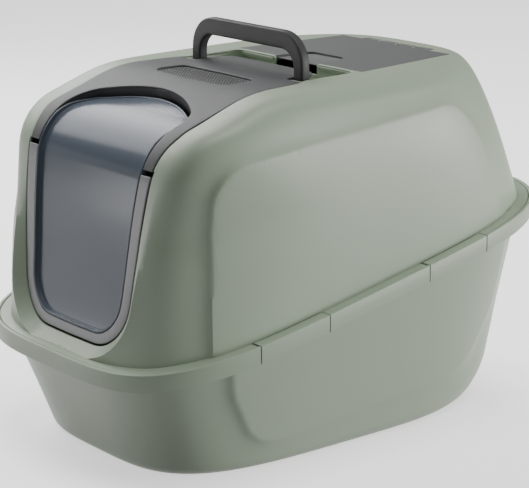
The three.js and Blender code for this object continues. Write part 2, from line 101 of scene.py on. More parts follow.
# ---------- outlines ----------
def corner_arc(corners, radius, steps):
    """The arc that rounds the middle one of three corners. Its number of steps comes from its length."""
    before, corner, after = (np.array(c[:2], float) for c in corners)
    back, ahead = before - corner, after - corner
    back /= np.linalg.norm(back)
    ahead /= np.linalg.norm(ahead)
    half = math.acos(np.clip(back @ ahead, -1, 1)) / 2
    centre = corner + (back + ahead) / np.linalg.norm(back + ahead) * radius / math.sin(half)
    start = corner + back * radius / math.tan(half) - centre
    end = corner + ahead * radius / math.tan(half) - centre
    sweep = math.atan2(start[0] * end[1] - start[1] * end[0], start @ end)
    return [centre + [start[0] * math.cos(s) - start[1] * math.sin(s),
                      start[0] * math.sin(s) + start[1] * math.cos(s)]
            for s in np.linspace(0, sweep, steps(abs(sweep) * radius) + 1)]


def rounded(corners, step=0.6):
    """A run of corners (x, y, radius), each rounded by an arc, as closely spaced points."""
    points = []
    for i, (x, y, radius) in enumerate(corners):
        if i in (0, len(corners) - 1) or not radius:
            points.append(np.array([x, y], float))
            continue
        points += corner_arc(corners[i - 1:i + 2], radius, lambda bend: max(3, int(bend / step)))
    return filled(np.array(points), step)


def filled(points, step):
    """The same run of points with long stretches divided."""
    out = [points[:1]]
    for a, b in zip(points[:-1], points[1:]):
        count = max(1, int(np.linalg.norm(b - a) / step))
        out.append(a + (b - a) * np.linspace(0, 1, count + 1)[1:, None])
    return np.concatenate(out)


def spaced(points, step):
    """The run of points resampled at an even spacing, with its ends kept."""
    points = np.asarray(points, float)
    along = np.concatenate([[0], np.cumsum(np.linalg.norm(np.diff(points, axis=0), axis=1))])
    count = max(1, round(along[-1] / step))
    at = np.linspace(0, along[-1], count + 1)
    return columns_of(*(np.interp(at, along, column) for column in points.T))


def grown(corners, by):
    """The corners with every edge between them moved outwards by a distance."""
    points = np.array([c[:2] for c in corners], float)
    turn = -1 if points[1][1] > points[0][1] else 1
    lines = [(points[0], np.array([1.0, 0.0]))]
    for a, b in zip(points[:-1], points[1:]):
        along = (b - a) / np.linalg.norm(b - a)
        lines.append((a + by * turn * np.array([-along[1], along[0]]), along))
    lines.append((np.zeros(2), np.array([0.0, 1.0])))
    moved = []
    for (start, along), (start2, along2), corner in zip(lines, lines[1:], corners):
        gap = start2 - start
        share = (gap[0] * along2[1] - gap[1] * along2[0]) / (along[0] * along2[1] - along[1] * along2[0])
        point = start + along * share
        radius = max(corner[2] + by, 1) if corner[2] else 0
        moved.append((max(point[0], 0), point[1], radius))
    return moved


# ---------- the hood's outer form ----------
def front_profile():
    face = (-FOOT_REAR, rim_height(-FOOT_REAR), 0)
    run = rounded([face, (-223.8, 337.4, 68), (-112, 376, 160), (0, roof_height(0), 0)], 1)
    levels = level_of(run[:, 0], run[:, 1])
    top = np.argmax(levels >= 1 - 1e-6) or len(levels)
    keep = slice(0, max(top, 2))
    return np.maximum.accumulate(levels[keep]), run[keep, 0]


FRONT_LEVELS, FRONT_YS = front_profile()


def plan_radius(angle, level, shoulder):
    """Distance from the middle to the hood's side at a level, in the direction of angle."""
    cos, sin = np.abs(np.cos(angle)) + 1e-12, np.abs(np.sin(angle)) + 1e-12
    half = ROOF_HALF + (FOOT_HALF - ROOF_HALF) * shoulder
    rear = FOOT_REAR + (ROOF_REAR - FOOT_REAR) * level
    front = -np.interp(level, FRONT_LEVELS, FRONT_YS)
    low = np.maximum(0, 1 - 2 * level)
    flat = FRONT_FLAT * (1 - low ** 2)
    power = 4 - 0.8 * level ** 2
    behind = ((cos / half) ** power + (sin / rear) ** power) ** (-1 / power)
    power = 1.8 + 4.1 * level ** 2 + 2.2 * low
    near, far = np.zeros_like(cos), np.minimum(half / cos, front / sin)
    for _ in range(40):
        middle = (near + far) / 2
        reach = (np.maximum(middle * cos - flat, 0) / (half - flat)) ** power
        outside = reach + (middle * sin / front) ** power > 1
        far = np.where(outside, middle, far)
        near = np.where(outside, near, middle)
    return np.where(np.sin(angle) >= 0, behind, near)


def shoulder_of(level):
    return (1 - np.clip(level, 0, 1) ** SHOULDER) ** (1 / SHOULDER)


class Hood:
    """The hood's outer skin. Its plane coordinates are polar: within radius 1 the roof, outside it the
    shoulder and the walls, and past the foot a short upright stretch."""

    SPREAD = 1.35
    FOOT_SCALE = 150

    def __init__(self, relief=None):
        self.relief = relief

    def bare(self, q):
        rho, angle = np.hypot(q[:, 0], q[:, 1]), np.arctan2(q[:, 1], q[:, 0])
        share = np.minimum(1 - (rho - 1) / self.SPREAD, 1)
        chi = np.maximum(share, 0) * math.pi / 2
        size = (np.abs(np.cos(chi)) ** SHOULDER + np.sin(chi) ** SHOULDER) ** (1 / SHOULDER)
        level, shoulder = np.sin(chi) / size, np.abs(np.cos(chi)) / size
        r = plan_radius(angle, level, shoulder) * np.minimum(rho, 1)
        x, y = r * np.cos(angle), r * np.sin(angle)
        z = rim_height(y) * (1 - level) + roof_height(y) * level + np.minimum(share, 0) * self.FOOT_SCALE
        return columns_of(x, y, z)

    def frame_at(self, q):
        """The skin's two directions of change at plane coordinates, and its outward normal."""
        e = 2e-4
        du, dv = np.array([[e, 0]]), np.array([[0, e]])
        along = (self.bare(q + du) - self.bare(q - du)) / (2 * e)
        across = (self.bare(q + dv) - self.bare(q - dv)) / (2 * e)
        return along, across, unit(np.cross(along, across))

    def point(self, q):
        p = self.bare(q)
        if self.relief is None:
            return p
        return p + self.frame_at(q)[2] * self.relief(p)[:, None]

    def normal(self, q):
        return self.frame_at(q)[2]

    def locate(self, p):
        """Plane coordinates of points on the bare skin."""
        x, y, z = np.asarray(p, float).T
        angle, r = np.arctan2(y, x), np.hypot(x, y)
        level = level_of(y, z)
        inside = np.clip(level, 0, 1)
        share = np.arctan2(inside, shoulder_of(inside)) / (math.pi / 2)
        below = np.minimum(z - rim_height(y), 0) / self.FOOT_SCALE
        edge = plan_radius(angle, np.ones_like(level), np.zeros_like(level))
        rho = np.where(r <= edge, r / edge, 1 + (1 - share - below) * self.SPREAD)
        return columns_of(rho * np.cos(angle), rho * np.sin(angle))

    def nearest(self, q, target):
        """Plane coordinates of the skin's points nearest to the targets, from a first guess q."""
        for _ in range(6):
            p = self.bare(q)
            along, across, _ = self.frame_at(q)
            miss = target - p
            a, b, c = (along ** 2).sum(1), (along * across).sum(1), (across ** 2).sum(1)
            u, v = (along * miss).sum(1), (across * miss).sum(1)
            det = a * c - b * b + 1e-12
            q = q + columns_of((c * u - b * v) / det, (a * v - b * u) / det) * 0.9
        return q

    def press(self, points, axis, outside):
        """Moves points along an axis (0, 1 or 2) onto the bare skin, on the side where that
        coordinate reaches the value outside."""
        p = np.array(points, float)
        near = np.full(len(p), 0.0 if axis < 2 else 150.0)
        far = np.full(len(p), float(outside))
        for _ in range(50):
            middle = (near + far) / 2
            p[:, axis] = middle
            level = level_of(p[:, 1], p[:, 2])
            angle = np.arctan2(p[:, 1], p[:, 0])
            clipped = np.clip(level, 0, 1)
            edge = plan_radius(angle, clipped, shoulder_of(clipped))
            out = (np.hypot(p[:, 0], p[:, 1]) > edge) | (level > 1)
            far = np.where(out, middle, far)
            near = np.where(out, near, middle)
        return p

    def lattice(self, step):
        """Plane coordinates spread over the whole skin, about step apart."""
        out = []
        rings = int(250 / step)
        for share in np.linspace(0, 1, rings, endpoint=False):
            rho = 1 + (1 - share) * self.SPREAD
            count = int(1450 / step * (0.75 + 0.25 * (1 - share)))
            angle = np.linspace(0, 2 * math.pi, count, endpoint=False)
            out.append(columns_of(rho * np.cos(angle), rho * np.sin(angle)))
        xs = np.arange(-ROOF_HALF, ROOF_HALF + 1, step)
        ys = np.arange(-112, ROOF_REAR, step)
        grid = np.stack(np.meshgrid(xs, ys), axis=-1).reshape(-1, 2)
        grid = np.concatenate([grid, roof_height(grid[:, 1:])], axis=1)
        q = self.locate(grid)
        out.append(q[np.hypot(q[:, 0], q[:, 1]) < 0.985])
        return np.concatenate(out)


class Flat:
    """A flat face: plane coordinates are millimetres along two directions from an origin."""

    def __init__(self, origin, along, across):
        self.origin, self.along, self.across = (np.array(v, float) for v in (origin, along, across))
        self.along /= np.linalg.norm(self.along)
        self.across /= np.linalg.norm(self.across)
        self.up = np.cross(self.along, self.across)

    def bare(self, q):
        return self.origin + q[:, :1] * self.along + q[:, 1:] * self.across

    point = bare

    def normal(self, q):
        return np.tile(self.up, (len(q), 1))

    def locate(self, p):
        gap = np.asarray(p, float) - self.origin
        return columns_of(gap @ self.along, gap @ self.across)

    def nearest(self, q, target):
        return self.locate(target)

    def spread(self, low, high, step):
        xs, ys = np.arange(low[0], high[0], step), np.arange(low[1], high[1], step)
        return np.stack(np.meshgrid(xs, ys), axis=-1).reshape(-1, 2)


# ---------- mesh building ----------
def inside_loops(points, loops):
    """Which plane points lie inside the loops, counting crossings."""
    hit = np.zeros(len(points), bool)
    for loop in loops:
        a, b = loop, np.roll(loop, -1, axis=0)
        for k in range(0, len(points), 4000):
            px, py = points[k:k + 4000, 0:1], points[k:k + 4000, 1:2]
            cross = (a[None, :, 1] > py) != (b[None, :, 1] > py)
            with np.errstate(divide="ignore", invalid="ignore"):
                at = a[None, :, 0] + (py - a[None, :, 1]) * (b - a)[None, :, 0] / (b - a)[None, :, 1]
            hit[k:k + 4000] ^= (np.sum(cross & (px < at), axis=1) % 2).astype(bool)
    return hit


def far_from(points, others, distance):
    """Which points keep a distance from all the others."""
    clear = np.ones(len(points), bool)
    for k in range(0, len(points), 2000):
        block = points[k:k + 2000]
        gap = ((block[:, None, :] - others[None, :, :]) ** 2).sum(2).min(1)
        clear[k:k + 2000] = gap > distance ** 2
    return clear


def triangles(loops, inner):
    """A triangulation of the area inside the loops that uses the inner points too."""
    verts, edges = [], []
    for loop in loops:
        first = len(verts)
        verts += [Vector(p) for p in loop]
        edges += [(first + i, first + (i + 1) % len(loop)) for i in range(len(loop))]
    verts += [Vector(p) for p in inner]
    out, _, faces, source, _, _ = delaunay_2d_cdt(verts, edges, [], 0, 1e-9)
    back = np.array([s[0] if s else -1 for s in source])
    faces = np.array([f for f in faces if len(f) == 3])
    flat = np.array([tuple(p) for p in out])
    faces = faces[inside_loops(flat[faces].mean(1), loops)]
    faces = back[faces]
    corners = np.array([tuple(p) for p in verts])[faces]
    ab, ac = corners[:, 1] - corners[:, 0], corners[:, 2] - corners[:, 0]
    wrong = ab[:, 0] * ac[:, 1] - ab[:, 1] * ac[:, 0] < 0
    faces[wrong] = faces[wrong][:, ::-1]
    return faces


def inward(surface, q, points):
    """For a closed loop with its material on the left: the direction into the material, scaled so
    that both edges at a corner move in by one unit."""
    ahead = unit(np.roll(points, -1, axis=0) - points)
    back = unit(points - np.roll(points, 1, axis=0))
    tangent = unit(ahead + back)
    side = unit(np.cross(surface.normal(q), tangent))
    lean = np.clip((tangent * ahead).sum(1), 0.5, 1)
    return side / lean[:, None]


def arc(radius, start, end, steps=4):
    """Quarter-round points (inset, depth) from a flat face at one end to a wall at the other."""
    angles = np.radians(np.linspace(start, end, steps + 1))
    return [(radius * (1 - math.sin(a)), radius * (1 - math.cos(a))) for a in angles]


def edge_profile(depth, thick, top=0.8, bottom=0.4):
    """Section of a plain plate's edge: rounded over at the top and a little at the bottom."""
    inset = max(top, bottom)
    run = [(i, depth + d) for i, d in arc(top, 0, 90)]
    run += [(i, depth + thick - d) for i, d in arc(bottom, 90, 0, 2)]
    if bottom < inset:
        run.append((inset, depth + thick))
    if top < inset:
        run.insert(0, (inset, depth))
    return run


def moulded(surface, loops, profiles, lattice, clearance):
    """A closed body on a surface. Each loop (points on the bare skin, material on the left) has a
    profile of (inset, depth) pairs that leads from the upper face to the lower one. A third number
    is the share of the surface's own recess that is added to the depth."""
    def sunk(q, depth, share=0):
        drop = depth + (share * surface.recess(surface.bare(q)) if share else np.zeros(len(q)))
        return surface.point(q) - surface.normal(q) * drop[:, None]

    columns, tops, bottoms = [], [], []
    for points, profile in zip(loops, profiles):
        q = surface.nearest(surface.locate(points), points)
        side = inward(surface, q, points)
        rows, plane = [], []
        for inset, *depth in profile:
            qi = surface.nearest(surface.locate(points), points + side * inset) if inset else q
            plane.append(qi)
            rows.append(sunk(qi, *depth))
        columns.append(np.array(rows))
        tops.append(plane[0])
        bottoms.append(plane[-1])
    verts, faces = [], []
    offsets = []
    for rows in columns:
        offsets.append(sum(len(v) for v in verts))
        k, n, _ = rows.shape
        verts.append(rows.reshape(-1, 3))
        index = np.arange(k * n).reshape(k, n) + offsets[-1]
        right = np.roll(index, -1, axis=1)
        quads = np.stack([index[:-1], index[1:], right[1:], right[:-1]], axis=-1).reshape(-1, 4)
        faces.append(quads)
    caps = []
    for plane, row, flip in ((tops, 0, False), (bottoms, -1, True)):
        mask = inside_loops(lattice, plane)
        inner = lattice[mask]
        edge3 = np.concatenate([surface.bare(p) for p in plane])
        inner = inner[far_from(surface.bare(inner), edge3, clearance)] if len(inner) else inner
        tri = triangles(plane, inner)
        base = sum(len(v) for v in verts)
        extra = sunk(inner, *profiles[0][row][1:]) if len(inner) else np.zeros((0, 3))
        verts.append(extra)
        lookup = [np.arange(len(p)) + offsets[i] + (columns[i].shape[0] - 1 if row else 0) * len(p)
                  for i, p in enumerate(plane)]
        lookup = np.concatenate(lookup + [np.arange(len(inner)) + base])
        tri = lookup[tri]
        caps.append(tri[:, ::-1] if flip else tri)
    return np.concatenate(verts), [tuple(f) for block in faces for f in block] + \
        [tuple(f) for block in caps for f in block]


def added(name, data):
    """A new object in the scene."""
    obj = bpy.data.objects.new(name, data)
    bpy.context.scene.collection.objects.link(obj)
    return obj


def piece(name, verts, faces, material, body, slot, replaces=()):
    """Makes a Blender object of the mesh, smooth apart from sharp edges, riding on a body."""
    mesh = bpy.data.meshes.new(name)
    mesh.from_pydata([tuple(v * MM) for v in verts], [], [tuple(int(i) for i in f) for f in faces])
    mesh.validate()
    mesh.update()
    mesh.shade_smooth()
    mesh.set_sharp_from_angle(angle=math.radians(SHARP_ANGLE))
    obj = added(name, mesh)
    mesh.materials.append(material)
    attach(obj, body)
    if replaces:
        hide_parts(*replaces)


def loop_of(right):
    """A closed loop from its right half (runs of points, each on the bare skin), mirrored to the
    left. The right half starts and ends on the middle plane."""
    half = np.concatenate([right[0]] + [run[1:] for run in right[1:]])
    half[0, 0] = half[-1, 0] = 0
    left = half[1:-1][::-1] * MIRROR
    return np.concatenate([half, left])


def facing(corners):
    """A rounded run of (x, z) corners pressed onto the hood's front."""
    points = rounded(corners)
    p = columns_of(points[:, 0], np.zeros(len(points)), points[:, 1])
    return spaced(SKIN.press(p, 1, -300), STEP)


def bridge(start, end, step):
    """A straight run between two points, pressed onto the hood's front."""
    return SKIN.press(spaced(np.array([start, end]), step), 1, -300)


def above(corners):
    """A rounded run of (x, y) corners pressed onto the hood from above."""
    return spaced(on_top(rounded(corners)), STEP)


def on_top(points):
    """Points (x, y) pressed onto the skin from above."""
    return SKIN.press(columns_of(points[:, 0], points[:, 1], np.zeros(len(points))), 2, 400)


def cut(points, axis, value, keep_above):
    """The part of a run of points on one side of a value, ending exactly on it."""
    side = points[:, axis] > value if keep_above else points[:, axis] < value
    first, last = np.flatnonzero(side)[[0, -1]]
    out = points[first:last + 1]
    for end, beyond in ((0, first - 1), (-1, last + 1)):
        if 0 <= beyond < len(points):
            a, b = points[beyond], out[end]
            share = (value - a[axis]) / (b[axis] - a[axis])
            extra = (a + (b - a) * share)[None]
            out = np.concatenate([extra, out] if end == 0 else [out, extra])
    return spaced(out, STEP)


SKIN = Hood()

# Right halves of outlines as (x, height, radius) from the front, or (x, y, radius) from above.
FRAME_SIDE = [(110, 340, 0), (88, 135, 52), (0, 134, 0)]
WINDOW_SIDE = [(90.6, 380, 0), (90.6, 312, 30), (76, 145, 42), (0, 144, 0)]
WINDOW_TOP = [(90.6, -260, 0), (91, -170, 32), (34, -142, 150), (0, -141, 0)]
VISOR_SIDE = [(105.5, -245, 0), (107, -226, 10), (113, -202, 20), (112, -150, 100),
              (111, -105, 100), (106, -55, 60), (101.5, -39.5, 4), (76.5, -39.5, 2.5),
              (76.5, -6, 2), (65, 4.8, 12), (0, 5.5, 0)]
OPENING = [(91.9, -300, 0), (91.9, -222, 10), (93.5, -167, 34), (34, -137, 150), (0, -136, 0)]
HOOD_HOLE = [(106, -245, 0), (107.5, -226, 10), (113.6, -202, 20), (112.6, -150, 100),
             (111.6, -105, 100), (106.6, -55, 60), (102, -38, 6), (97.5, -33, 3),
             (97.5, 36.5, 12), (0, 36.5, 0)]


# ---------- sweeps round the rim ----------
def round_loop(corners, steps=3):
    """A closed polygon (x, y, radius) with every corner rounded by an arc of a few points."""
    points = []
    for i, (x, y, radius) in enumerate(corners):
        if radius:
            three = (corners[i - 1], corners[i], corners[(i + 1) % len(corners)])
            points += corner_arc(three, radius, lambda bend: steps)
        else:
            points.append(np.array([x, y], float))
    return np.array(points)


def box(x0, x1, y0, y1, radius):
    """The corners of a rectangle."""
    return [(x0, y0, radius), (x1, y0, radius), (x1, y1, radius), (x0, y1, radius)]


def rim_loop(offset, drop, angles):
    """The rim's outline moved inwards and down, at directions from the middle."""
    half, length, power = RIM["half"] - offset, RIM["length"] - offset, RIM["power"]
    cos, sin = np.abs(np.cos(angles)) / half, np.abs(np.sin(angles)) / length
    r = (cos ** power + sin ** power) ** (-1 / power)
    x, y = r * np.cos(angles), r * np.sin(angles)
    return columns_of(x, y, rim_height(y) - drop)


def rim_side(offset, drop, ys):
    """The right-hand side of the rim's outline moved inwards and down, at given y."""
    half, length, power = RIM["half"] - offset, RIM["length"] - offset, RIM["power"]
    x = half * (1 - (np.abs(ys) / length) ** power) ** (1 / power)
    return columns_of(x, ys, rim_height(ys) - drop)


def tube(rings):
    """A closed body through rings of points, with a face across each end."""
    rings = np.array(rings)
    k, n, _ = rings.shape
    index = np.arange(k * n).reshape(k, n)
    lower, upper = index[:-1], index[1:]
    quads = np.stack([lower, np.roll(lower, -1, axis=1), np.roll(upper, -1, axis=1), upper], axis=-1)
    faces = [tuple(f) for f in quads.reshape(-1, 4)] + [tuple(index[0][::-1]), tuple(index[-1])]
    verts = rings.reshape(-1, 3)
    return verts, outward(verts, faces)


def outward(verts, faces):
    """The faces turned so that the body's volume is positive."""
    volume = 0.0
    for f in faces:
        a = verts[f[0]]
        for b, c in zip(f[1:-1], f[2:]):
            volume += np.dot(a, np.cross(verts[b], verts[c]))
    return [tuple(reversed(f)) for f in faces] if volume < 0 else faces


def merged(*bodies):
    """Several (vertices, faces) bodies as one."""
    verts, faces, count = [], [], 0
    for v, f in bodies:
        verts.append(np.asarray(v, float))
        faces += [tuple(i + count for i in face) for face in f]
        count += len(v)
    return np.concatenate(verts), faces


def mirrored(body):
    verts, faces = body
    return verts * MIRROR, [tuple(reversed(f)) for f in faces]


def both(body):
    return merged(body, mirrored(body))


def rod(radius, x0, x1, y, z, round_end=0.4, sides=32):
    """A round rod along X with softened ends."""
    stations = [(x0, radius - round_end), (x0 + round_end, radius),
                (x1 - round_end, radius), (x1, radius - round_end)]
    angles = np.linspace(0, 2 * math.pi, sides, endpoint=False)
    rings = [columns_of(np.full(sides, x), y + r * np.cos(angles), z + r * np.sin(angles))
             for x, r in stations]
    return tube(rings)


def prism(corners, low, high, edge):
    """An upright body over a closed plan outline of rounded corners, with softened edges."""
    return slab(Flat((0, 0, high), (1, 0, 0), (0, 1, 0)), [round_loop(corners, 4)], high - low, edge)


def slab(surface, outlines, thick, edge, lattice_step=None):
    """A plate on a flat surface from plane outlines: the first is the outside, the rest are holes."""
    loops, profiles = [], []
    for i, outline in enumerate(outlines):
        following = np.roll(outline, -1, axis=0)
        area = np.sum(outline[:, 0] * following[:, 1] - outline[:, 1] * following[:, 0])
        if (area > 0) != (i == 0):
            outline = outline[::-1]
        loops.append(surface.bare(outline))
        profiles.append(edge_profile(0, thick, edge, edge))
    low, high = outlines[0].min(0), outlines[0].max(0)
    lattice = surface.spread(low, high, lattice_step) if lattice_step else NO_LATTICE
    return moulded(surface, loops, profiles, lattice, 2)


def difference(body, *cutters):
    """The body with the cutters taken away, by Blender's exact boolean."""
    def temporary(verts, faces):
        mesh = bpy.data.meshes.new("temporary")
        mesh.from_pydata([tuple(v) for v in verts], [], [tuple(int(i) for i in f) for f in faces])
        return added("temporary", mesh)

    base = temporary(*body)
    tools = [temporary(*cutter) for cutter in cutters]
    for tool in tools:
        change = base.modifiers.new("cut", "BOOLEAN")
        change.object, change.operation, change.solver = tool, "DIFFERENCE", "EXACT"
    made = bpy.data.meshes.new_from_object(base.evaluated_get(bpy.context.evaluated_depsgraph_get()))
    verts = np.array([v.co for v in made.vertices], float)
    faces = [tuple(p.vertices) for p in made.polygons]
    for obj in [base, *tools]:
        mesh = obj.data
        bpy.data.objects.remove(obj)
        bpy.data.meshes.remove(mesh)
    bpy.data.meshes.remove(made)
    return verts, faces


# ---------- the side panels ----------
# Outlines as (y, height, radius) from the side.
PANEL_LINE = rounded([(-199, 60, 0), (-194, 318, 44), (116, 349, 40), (153, 308, 70), (176, 258, 120),
                      (198, 190, 0)], 2)
TRAY_PANEL_LINE = rounded([(-190, 170, 0), (-172, 92, 60), (-136, 27, 46), (150, 50, 60), (196, 120, 60),
                           (206, 240, 0)], 2)
RELIEF, RELIEF_REACH, FRONT_REACH = 2.2, 7, 3
RAISED, RAISED_REACH = 2.6, 28
DOORSTEP, DOORSTEP_LIP, DOORSTEP_WIDTH, LIP_REACH, DOOR_GAP = 9, 3.4, 11, 9, 2
DOORSTEP_LINE = rounded(grown(FRAME_SIDE, DOOR_GAP), 2)
DOORSTEP_EDGE = grown(FRAME_SIDE, DOOR_GAP + DOORSTEP_WIDTH)


def closed_up(line, corner):
    """A panel's line closed by way of one more corner."""
    return filled(np.concatenate([line, [corner], line[:1]]), 2)


def eased_step(value, start, end):
    """A soft step from 0 at the start to 1 at the end."""
    share = np.clip((value - start) / (end - start), 0, 1)
    return share * share * (3 - 2 * share)


def distance(points, line):
    """The distance of plane points from the nearest point of a closely spaced line."""
    out = np.zeros(len(points))
    for k in range(0, len(points), 3000):
        block = points[k:k + 3000]
        out[k:k + 3000] = np.sqrt(((block[:, None] - line[None]) ** 2).sum(2).min(1))
    return out


def panel_relief(points, outline):
    """Relief of a side in the plane of the side view: outside a panel's outline the wall falls
    back, and the panel's front edge stands proud."""
    gap = distance(points, outline)
    inside = inside_loops(points, [outline])
    front = RAISED * (1 - eased_step(points[:, 0], -185, -60))
    outer = -RELIEF * (1 - np.exp(-gap / RELIEF_REACH)) * (1 - eased_step(gap, 10, 60))
    return np.where(inside, front * np.exp(-gap / RAISED_REACH), outer + front * np.exp(-gap / FRONT_REACH))


def door_relief(p):
    """The door lies back from the hood's skin towards its lower end."""
    return -DOORSTEP * (1 - eased_step(p[:, 2], 150, 300))


HOOD_PANEL = closed_up(PANEL_LINE, (198, 60))
TRAY_SIDE = closed_up(TRAY_PANEL_LINE, (-190, 240))


def hood_relief(p):
    """The raised side panels, and the step and its lip round the door."""
    side = eased_step(np.abs(p[:, 0]), 60, 100)
    below_roof = eased_step(roof_height(p[:, 1]) - p[:, 2], 2, 22)
    relief = panel_relief(p[:, 1:3], HOOD_PANEL) * side * below_roof
    gap = distance(columns_of(np.abs(p[:, 0]), p[:, 2]), DOORSTEP_LINE)
    share = np.clip(gap / DOORSTEP_WIDTH, 0, 1)
    lip = DOORSTEP_LIP / DOORSTEP * share * np.exp(-np.maximum(gap - DOORSTEP_WIDTH, 0) / LIP_REACH)
    return relief + door_relief(p) * (1 - share - lip) * (p[:, 1] < -150)


BODY = Hood(hood_relief)


# ---------- the hood ----------
LID_FRONT, LID_REAR = (101, 40.5), (87, 179)
TONGUES = (-42, -14, 14, 42)
SLOT_HALF, TONGUE_HALF = 12.6, 11.6
HINGE_Y, HINGE_LIFT = 184.6, -1.6
SLOT_END = HINGE_Y + 4
LID_THICK = 3
HOLE_SHOULDER = 313.4


def roof_plane(depth):
    """The flat plane that lies a depth under the roof."""
    return Flat((0, 0, roof_height(0) - depth), (1, 0, 0), (0, 1, ROOF_SLOPE))


ROOF = roof_plane(0)


def lid_outline(by, radius, rear=()):
    """The lid's plan outline grown outwards; rear holds extra corners along its rear edge."""
    (x0, y0), (x1, y1) = LID_FRONT, LID_REAR
    right = [(x0 + by, y0 - by, radius), (x1 + by, y1 + by, radius)]
    left = [(-x, y, r) for x, y, r in right[::-1]]
    return round_loop([*right, *rear, *left], 4)


def even_filled(loop, step):
    """A closed plane loop with its long edges divided, corners kept."""
    return filled(np.concatenate([loop, loop[:1]]), step)[:-1]


def door_hole_line():
    """The right half of the hood's opening: past the door to the visor's arm, then round the roof."""
    low = cut(facing(grown(FRAME_SIDE, DOOR_GAP)[::-1]), 2, HOLE_SHOULDER, keep_above=False)
    high = cut(above(HOOD_HOLE), 2, HOLE_SHOULDER, keep_above=True)
    return np.concatenate([low, high])


def hood_shell():
    angles = np.linspace(0, 2 * math.pi, 420, endpoint=False)
    foot = rim_loop(FOOT_INSET, HOOD_DROP, angles)
    hole = loop_of([door_hole_line()])[::-1]
    bays = []
    for x in sorted(TONGUES, reverse=True):
        bays += [(x + SLOT_HALF, LID_REAR[1] + 0.5, 0.8), (x + SLOT_HALF, SLOT_END, 0.8),
                 (x - SLOT_HALF, SLOT_END, 0.8), (x - SLOT_HALF, LID_REAR[1] + 0.5, 0.8)]
    lid_hole = ROOF.bare(even_filled(lid_outline(0.5, 1.6, bays), 4))[::-1]
    lattice = BODY.lattice(4.2)
    ahead = unit(np.gradient(PANEL_LINE, axis=0))
    creases = []
    for by in (-2.4, 0, 2.4, 5):
        line = PANEL_LINE + by * columns_of(-ahead[:, 1], ahead[:, 0])
        line = BODY.press(columns_of(np.zeros(len(line)), *line.T), 0, 300)
        creases.append(spaced(line[line[:, 2] > rim_height(line[:, 1]) + 4], 3))
    creases += [cut(facing(DOORSTEP_EDGE[::-1]), 2, 290, keep_above=False)]
    crease = np.concatenate(creases)
    crease = np.concatenate([crease, crease * MIRROR])
    lattice = lattice[far_from(BODY.bare(lattice), crease, 2.1)]
    lattice = np.concatenate([lattice, BODY.locate(crease)])
    edges = [edge_profile(0, WALL, 0.6, 0.6), edge_profile(0, WALL, 0.7, 0.4),
             edge_profile(0, WALL, 0.4, 0.3)]
    return difference(moulded(BODY, [foot, hole, lid_hole], edges, lattice, 2.2), finger_hole())


def roof_slab(outlines, top, bottom, edge):
    """A flat plate that follows the roof, between two depths below it."""
    return slab(roof_plane(top), outlines, bottom - top, edge)


def mirror_corners(right):
    """A closed outline's corners from its right half, which runs from front to rear."""
    left = [(-x, y, r) for x, y, r in right[::-1] if x > 1e-6]
    return [*right, *left]


def lid_ledge():
    """The ledge round the roof opening that the lid lies on, and the rib that joins it to the roof."""
    def round_slots(by, wide, far):
        near = LID_REAR[1] + by
        return [(wide, near, 0.5), (wide, far, 1), (-wide, far, 1), (-wide, near, 0.5)]
    rib = roof_slab([lid_outline(5, 4, round_slots(5, 62, SLOT_END + 6)),
                     lid_outline(0.6, 1.5, round_slots(0.6, 56, SLOT_END + 0.8))], 2, 6.1, 0.3)
    shelf_rear = [(57, LID_REAR[1] + 3, 0.5), (57, LID_REAR[1] - 1, 0.5),
                  (-57, LID_REAR[1] - 1, 0.5), (-57, LID_REAR[1] + 3, 0.5)]
    shelf = roof_slab([lid_outline(3, 3, shelf_rear), lid_outline(-7, 4)], 3.4, 6.1, 0.3)
    return merged(difference(rib, finger_hole()), difference(shelf, finger_hole()))


def finger_hole():
    """The room cut out in front of the lid for a finger."""
    return prism(box(-37, 37, 34, 49, 0.5), 367.5, 386, 0.2)


DISH = {"half": 97.5, "front": -33.5, "rear": 36.5, "floor": 359.5, "corner": 12}
NOTCH = 76.5


def dish():
    """The dish behind the visor that the handle folds into."""
    half, front, rear, floor, r = DISH.values()
    low = floor - WALL
    base = [(0, 9.5, 0), (NOTCH + 1.5, 9.5, 1), (NOTCH + 1.5, front - 1, 1), (half + 1.5, front - 1, 1),
            (half + 1.5, rear + 1.5, r), (0, rear + 1.5, 0)]
    base = prism(mirror_corners(base), low, floor, 0.3)
    lip = [(0, 8.5, 0), (NOTCH, 8.5, 0.8), (NOTCH, front - 2, 1), (NOTCH + 3, front - 2, 1),
           (NOTCH + 3, 11, 0.8), (0, 11, 0)]
    lip = prism(mirror_corners(lip), low, floor + 4.5, 0.6)
    wall_top = 1.4
    side = [(35, rear, 0.5), (half, rear, r), (half, front, 1.2), (NOTCH + 3, front, 0.5),
            (NOTCH + 3, front - 2.4, 0.5), (half + 3, front - 2.4, 3), (half + 3, rear + 3, r + 3),
            (35, rear + 3, 0.5)]
    wall = slab(roof_plane(wall_top), [round_loop(side[::-1], 6)], roof_height(0) - wall_top - low, 0.2)
    sill = prism(box(-36, 36, rear, rear + 3, 0.3), low, floor + 8, 0.2)
    boss = prism(box(92.9, 98.5, -33.4, -18, 1), low, 376, 0.6)
    return merged(base, lip, both(wall), sill, both(boss))


